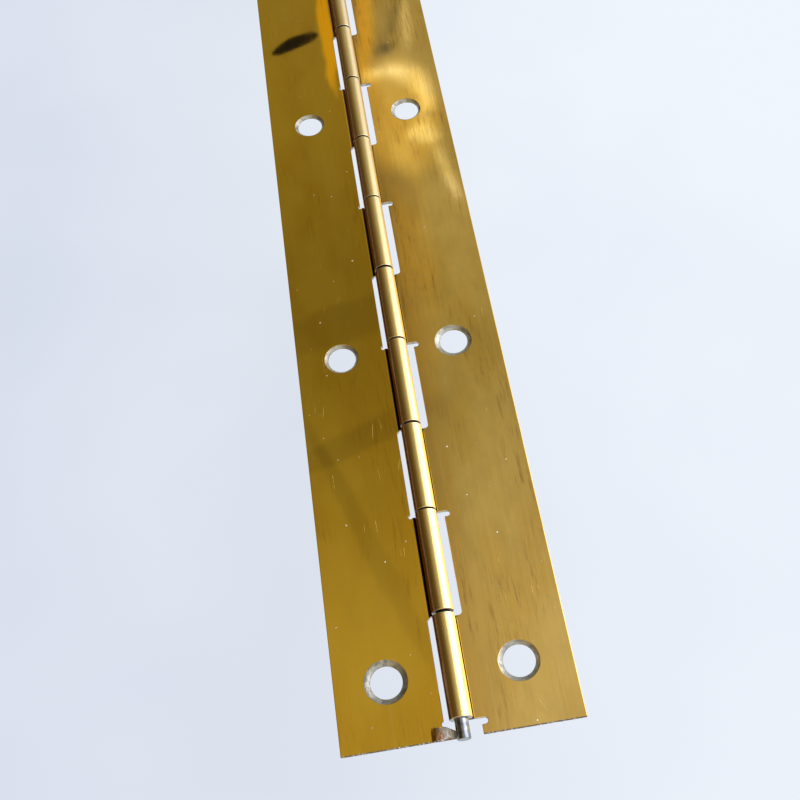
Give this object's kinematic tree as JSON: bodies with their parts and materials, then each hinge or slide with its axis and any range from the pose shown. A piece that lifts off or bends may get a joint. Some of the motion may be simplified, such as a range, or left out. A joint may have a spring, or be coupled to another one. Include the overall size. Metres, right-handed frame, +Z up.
{
  "type": "piano hinge",
  "caption": "Brass-plated steel piano hinge, open flat, with rolled knuckles, a loose steel pin and countersunk screw holes in both leaves.",
  "frame": {"origin": "under the pin's axis, at half the hinge's length, in the plane of the leaves' backs", "axes": "+Y along the pin, +Z up on the barrel side, +X across towards the right leaf's outer edge"},
  "size_m": [0.0318, 0.3058, 0.0031],
  "materials": {
    "brass_plate": "polished brass plating on steel sheet",
    "bare_steel": "bare drawn steel wire"
  },
  "bodies": {
    "left_leaf": {"left_leaf": "brass_plate"},
    "right_leaf": {"right_leaf": "brass_plate"},
    "hinge_pin": {"hinge_pin": "bare_steel"}
  },
  "joints": [
    {"name": "leaf_fold", "type": "hinge", "parent": "left_leaf", "child": "right_leaf", "pos_m": [0, 0, 0.00153], "axis": [0, -1, 0], "range_deg": [-105, 180]},
    {"name": "pin_spin", "type": "hinge", "parent": "left_leaf", "child": "hinge_pin", "pos_m": [0, 0, 0.00153], "axis": [0, 1, 0], "continuous": true}
  ]
}
